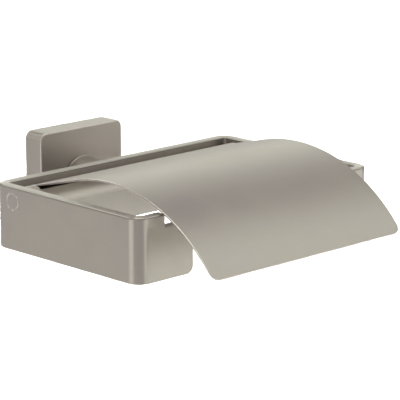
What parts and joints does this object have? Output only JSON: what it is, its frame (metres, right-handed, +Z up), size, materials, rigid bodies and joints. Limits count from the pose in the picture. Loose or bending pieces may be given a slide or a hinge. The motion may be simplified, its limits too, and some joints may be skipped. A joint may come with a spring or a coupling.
{
  "type": "toilet paper holder",
  "caption": "Wall-mounted toilet paper holder: a bent flat-bar frame on a round post and square wall plate, with a curved hinged lid over the tongues that hold the roll.",
  "frame": {"origin": "centre of the mounting bracket's back face, on the wall plane", "axes": "+Y into the wall, +Z up, +X to the right for someone facing the wall; the holder stands out towards -Y"},
  "size_m": [0.16, 0.1775, 0.056],
  "materials": {
    "brushed_nickel": "satin brushed nickel plating, grain along the bar and across the lid",
    "stainless_steel": "plain stainless fasteners",
    "zinc_plated_steel": "bright zinc plating on bent sheet",
    "white_nylon": "moulded natural nylon",
    "dark_nylon": "moulded black nylon"
  },
  "bodies": {
    "holder": {"wall_plate": "brushed_nickel", "mounting_bracket": "zinc_plated_steel", "grub_screw": "stainless_steel", "post": "brushed_nickel", "clamp_stud": "stainless_steel", "clamp_washer": "stainless_steel", "clamp_lock_washer": "stainless_steel", "clamp_nut": "stainless_steel", "rear_dowel": "stainless_steel", "front_dowel": "stainless_steel", "frame": "brushed_nickel", "hinge_spacer_left": "dark_nylon", "hinge_spacer_right": "dark_nylon", "hinge_pin_left": "brushed_nickel", "hinge_pin_right": "brushed_nickel"},
    "lid": {"lid": "brushed_nickel", "hinge_knuckle_left": "brushed_nickel", "hinge_knuckle_right": "brushed_nickel", "hinge_bush_left": "white_nylon", "hinge_bush_right": "white_nylon"}
  },
  "joints": [
    {"name": "lid_hinge", "type": "hinge", "parent": "holder", "child": "lid", "pos_m": [0, -0.0517, 0.0084], "axis": [-1, 0, 0], "range_deg": [0, 93]}
  ]
}
